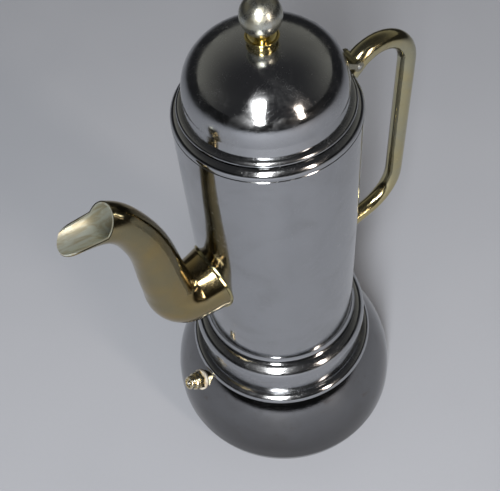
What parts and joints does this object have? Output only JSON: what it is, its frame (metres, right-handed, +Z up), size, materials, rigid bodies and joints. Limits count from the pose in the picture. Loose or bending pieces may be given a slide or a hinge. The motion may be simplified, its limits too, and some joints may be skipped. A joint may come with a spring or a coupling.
{
  "type": "stovetop moka pot",
  "caption": "Tall stovetop moka pot: bulged boiler with safety valve, screw-on pitcher with swan-neck spout and loop handle, hinged domed lid with a ball knob.",
  "frame": {"origin": "centre of the boiler's flat bottom", "axes": "+Z up the pot's axis, +X towards the handle, -X towards the spout and the safety valve, +Y completes the right-handed set"},
  "size_m": [0.1705, 0.123, 0.276],
  "materials": {
    "boiler_steel": "dark satin stainless steel, brushed round the pot and heat-darkened low down",
    "polished_steel": "mirror-polished stainless steel with fine scratches",
    "satin_steel": "satin stainless steel",
    "aged_brass": "polished brass with a worn, tarnished plating",
    "valve_brass": "nickelled brass worn bright at the edges",
    "knob_steel": "soft polish, slightly cloudy",
    "seal_rubber": "off-white food-grade rubber"
  },
  "bodies": {
    "boiler": {"boiler_shell": "boiler_steel", "boiler_pan": "boiler_steel", "shoulder_ring": "polished_steel", "boiler_neck": "satin_steel", "valve_washer": "seal_rubber", "valve_body": "valve_brass", "valve_cap": "valve_brass", "valve_spring": "satin_steel", "valve_locknut": "valve_brass"},
    "valve_plunger": {"valve_pin": "satin_steel"},
    "funnel": {"funnel_cup": "satin_steel", "funnel_plate": "satin_steel", "funnel_stem": "satin_steel"},
    "seal": {"gasket": "seal_rubber", "filter_plate": "satin_steel"},
    "pitcher": {"pitcher_body": "polished_steel", "pitcher_floor": "satin_steel", "threaded_collar": "polished_steel", "coffee_column": "satin_steel", "column_cap": "satin_steel", "spout": "aged_brass", "spout_seam": "aged_brass", "handle": "aged_brass", "hinge_pin": "satin_steel"},
    "lid": {"lid_dome": "polished_steel", "lid_flange": "polished_steel", "lid_lug": "satin_steel", "knob_collar": "aged_brass", "knob_ball": "knob_steel", "knob_stud": "satin_steel", "knob_washer": "satin_steel", "knob_nut": "satin_steel"}
  },
  "joints": [
    {"name": "valve_push", "type": "slide", "parent": "boiler", "child": "valve_plunger", "axis": [-0.8781, 0, 0.4784], "range_m": [0, 0.0012], "stiffness_N_per_m": 1500, "springref_m": -0.002, "deforming": ["valve_spring"]},
    {"name": "funnel_lift", "type": "slide", "parent": "boiler", "child": "funnel", "axis": [0, 0, 1], "range_m": [0, 0.1]},
    {"name": "thread_lift", "type": "slide", "parent": "funnel", "child": "seal", "axis": [0, 0, 1], "range_m": [0, 0.0101]},
    {"name": "unscrew", "type": "hinge", "parent": "seal", "child": "pitcher", "pos_m": [0, 0, 0.08], "axis": [0, 0, 1], "range_deg": [0, 900]},
    {"name": "lid_hinge", "type": "hinge", "parent": "pitcher", "child": "lid", "pos_m": [0.0412, 0, 0.2263], "axis": [0, 1, 0], "range_deg": [0, 100]}
  ],
  "couplings": [
    {"joint": "thread_lift", "follows": "unscrew", "m_per_rad": 0.00063662}
  ]
}
